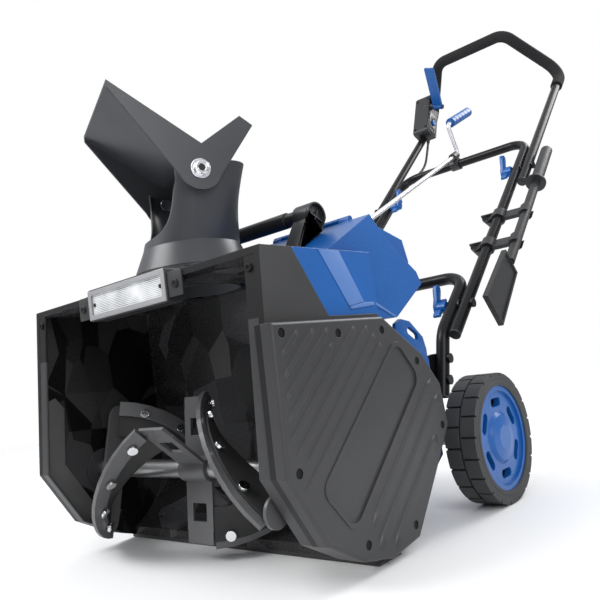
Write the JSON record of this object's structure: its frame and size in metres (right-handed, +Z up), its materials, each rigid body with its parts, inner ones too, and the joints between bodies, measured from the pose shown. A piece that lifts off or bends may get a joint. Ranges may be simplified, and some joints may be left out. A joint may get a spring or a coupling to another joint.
{
  "type": "snow blower",
  "caption": "Walk-behind cordless snow blower: scoop with paddle auger, turning chute with crank, motor hood, wheels and folding handle.",
  "frame": {"origin": "middle of the scraper bar's flat rest face, on the ground", "axes": "+Z up, -Y out of the scoop towards the front, +X towards the belt cover's side"},
  "size_m": [0.534, 1.2773, 1.012],
  "materials": {
    "gloss_black": "moulded gloss black",
    "charcoal": "moulded satin charcoal",
    "chute_grey": "moulded satin dark grey",
    "blue_plastic": "moulded royal blue",
    "body_black": "moulded satin black",
    "lamp_white": "ribbed white lens",
    "tube_black": "powder-coated black tube",
    "steel": "bare steel",
    "bright_steel": "bright plated steel",
    "black_bolt": "blackened steel",
    "blade_rubber": "moulded rubber",
    "strip_grey": "painted steel strip",
    "foam": "closed-cell foam",
    "tyre_rubber": "treaded tyre",
    "motor_steel": "painted steel can",
    "alloy": "cast alloy",
    "lead_pvc": "flexible lead"
  },
  "bodies": {
    "chassis": {"auger_bearings": "charcoal", "auger_housing": "gloss_black", "axle_brackets": "black_bolt", "battery_packs": "body_black", "belt_cover": "charcoal", "body_shell": "blue_plastic", "bracket_bolts": "black_bolt", "carry_handle": "body_black", "chute_collar": "chute_grey", "controller_box": "body_black", "crank_bush": "body_black", "drive_belt": "blade_rubber", "duct_pipe": "chute_grey", "handle_bolts": "black_bolt", "lamp_bezel": "charcoal", "lamp_lens": "lamp_white", "lead_clip": "body_black", "lead_lower": "lead_pvc", "lower_frame": "tube_black", "middle_handle": "tube_black", "middle_tube_caps": "body_black", "motor": "motor_steel", "motor_hood": "blue_plastic", "panel_screws": "black_bolt", "scraper_bar": "charcoal", "scraper_bolts": "black_bolt", "tool_clips": "body_black", "wheel_axle": "steel"},
    "auger": {"auger_shaft": "steel", "auger_flights": "blade_rubber", "auger_blades": "strip_grey", "auger_bolts": "bright_steel", "auger_frame": "steel", "auger_pulley": "charcoal"},
    "motor_rotor": {"motor_pulley": "steel"},
    "idler": {"idler_pulley": "alloy"},
    "wheel_left": {"tyre_left": "tyre_rubber", "hub_left": "blue_plastic"},
    "wheel_right": {"tyre_right": "tyre_rubber", "hub_right": "blue_plastic"},
    "chute_body": {"chute": "chute_grey", "deflector_bolts": "steel"},
    "deflector_body": {"deflector": "chute_grey"},
    "deflector_wing": {"deflector_knob": "blue_plastic"},
    "pinion": {"pinion_shaft": "charcoal"},
    "crank": {"crank_rod": "bright_steel"},
    "crank_sleeve": {"crank_grip": "blue_plastic"},
    "upper_loop": {"upper_handle": "tube_black", "foam_grip": "foam", "upper_tube_caps": "body_black", "switch_box": "body_black", "lead_upper": "lead_pvc"},
    "bail": {"bail_lever": "blue_plastic"},
    "button": {"lock_button": "blue_plastic"},
    "lid": {"battery_lid": "blue_plastic"},
    "tool": {"clean_out_tool": "body_black"},
    "knob_lower_left": {"lower_knob_left": "blue_plastic"},
    "knob_lower_right": {"lower_knob_right": "blue_plastic"},
    "knob_upper_left": {"upper_knob_left": "blue_plastic"},
    "knob_upper_right": {"upper_knob_right": "blue_plastic"}
  },
  "joints": [
    {"name": "auger_spin", "type": "hinge", "parent": "chassis", "child": "auger", "pos_m": [0, -0.065, 0.113], "axis": [1, 0, 0], "continuous": true},
    {"name": "motor_spin", "type": "hinge", "parent": "chassis", "child": "motor_rotor", "pos_m": [0.23, 0.098, 0.172], "axis": [1, 0, 0], "continuous": true},
    {"name": "idler_spin", "type": "hinge", "parent": "chassis", "child": "idler", "pos_m": [0.236, 0.04637, 0.0992], "axis": [1, 0, 0], "continuous": true},
    {"name": "wheel_left_spin", "type": "hinge", "parent": "chassis", "child": "wheel_left", "pos_m": [-0.244, 0.262, 0.09], "axis": [1, 0, 0], "continuous": true},
    {"name": "wheel_right_spin", "type": "hinge", "parent": "chassis", "child": "wheel_right", "pos_m": [0.244, 0.262, 0.09], "axis": [1, 0, 0], "continuous": true},
    {"name": "chute_turn", "type": "hinge", "parent": "chassis", "child": "chute_body", "pos_m": [0, -0.034, 0.4], "axis": [0, 0, 1], "range_deg": [-67.5, 112.5]},
    {"name": "deflector_tilt", "type": "hinge", "parent": "chute_body", "child": "deflector_body", "pos_m": [-0.00268, -0.04047, 0.485], "axis": [0.9239, -0.3827, 0], "range_deg": [-4, 50]},
    {"name": "deflector_knob_turn", "type": "hinge", "parent": "chute_body", "child": "deflector_wing", "pos_m": [-0.00268, -0.04047, 0.485], "axis": [0.9239, -0.3827, 0], "continuous": true},
    {"name": "pinion_turn", "type": "hinge", "parent": "chassis", "child": "pinion", "pos_m": [-0.016, 0.12, 0.33974], "axis": [0.1, -0.9622, 0.2532], "range_deg": [-830, 1383]},
    {"name": "crank_turn", "type": "hinge", "parent": "chassis", "child": "crank", "pos_m": [-0.016, 0.843, 0.6815], "axis": [0, 0.9041, 0.4274], "range_deg": [-1383, 830]},
    {"name": "crank_grip_turn", "type": "hinge", "parent": "crank", "child": "crank_sleeve", "pos_m": [-0.016, 0.83445, 0.76042], "axis": [0, 0.9041, 0.4274], "continuous": true},
    {"name": "handle_fold", "type": "hinge", "parent": "chassis", "child": "upper_loop", "pos_m": [0, 0.75, 0.57901], "axis": [1, 0, 0], "range_deg": [0, 130], "deforming": ["lead_upper"]},
    {"name": "bail_squeeze", "type": "hinge", "parent": "upper_loop", "child": "bail", "pos_m": [-0.138, 1.05, 0.902], "axis": [-0.9366, -0.1369, 0.3226], "range_deg": [0, 16], "stiffness_Nm_per_rad": 0.6, "springref_deg": -8.59},
    {"name": "lock_press", "type": "slide", "parent": "upper_loop", "child": "button", "axis": [-1, 0, 0], "range_m": [0, 0.004], "stiffness_N_per_m": 400, "springref_m": -0.002},
    {"name": "lid_open", "type": "hinge", "parent": "chassis", "child": "lid", "pos_m": [0.109, 0.092, 0.411], "axis": [1, 0, 0], "range_deg": [0, 100]},
    {"name": "tool_lift", "type": "slide", "parent": "chassis", "child": "tool", "axis": [1, 0, 0], "range_m": [0, 0.1]},
    {"name": "knob_lower_left_turn", "type": "hinge", "parent": "chassis", "child": "knob_lower_left", "pos_m": [-0.121, 0.415, 0.29289], "axis": [1, 0, 0], "continuous": true},
    {"name": "knob_lower_right_turn", "type": "hinge", "parent": "chassis", "child": "knob_lower_right", "pos_m": [0.121, 0.415, 0.29289], "axis": [1, 0, 0], "continuous": true},
    {"name": "knob_upper_left_turn", "type": "hinge", "parent": "chassis", "child": "knob_upper_left", "pos_m": [-0.147, 0.75, 0.57901], "axis": [1, 0, 0], "continuous": true},
    {"name": "knob_upper_right_turn", "type": "hinge", "parent": "chassis", "child": "knob_upper_right", "pos_m": [0.147, 0.75, 0.57901], "axis": [1, 0, 0], "continuous": true}
  ],
  "couplings": [
    {"joint": "motor_spin", "follows": "auger_spin", "ratio": 3.75},
    {"joint": "idler_spin", "follows": "auger_spin", "ratio": -5.1917},
    {"joint": "pinion_turn", "follows": "chute_turn", "ratio": 12.267},
    {"joint": "crank_turn", "follows": "chute_turn", "ratio": -12.267}
  ]
}
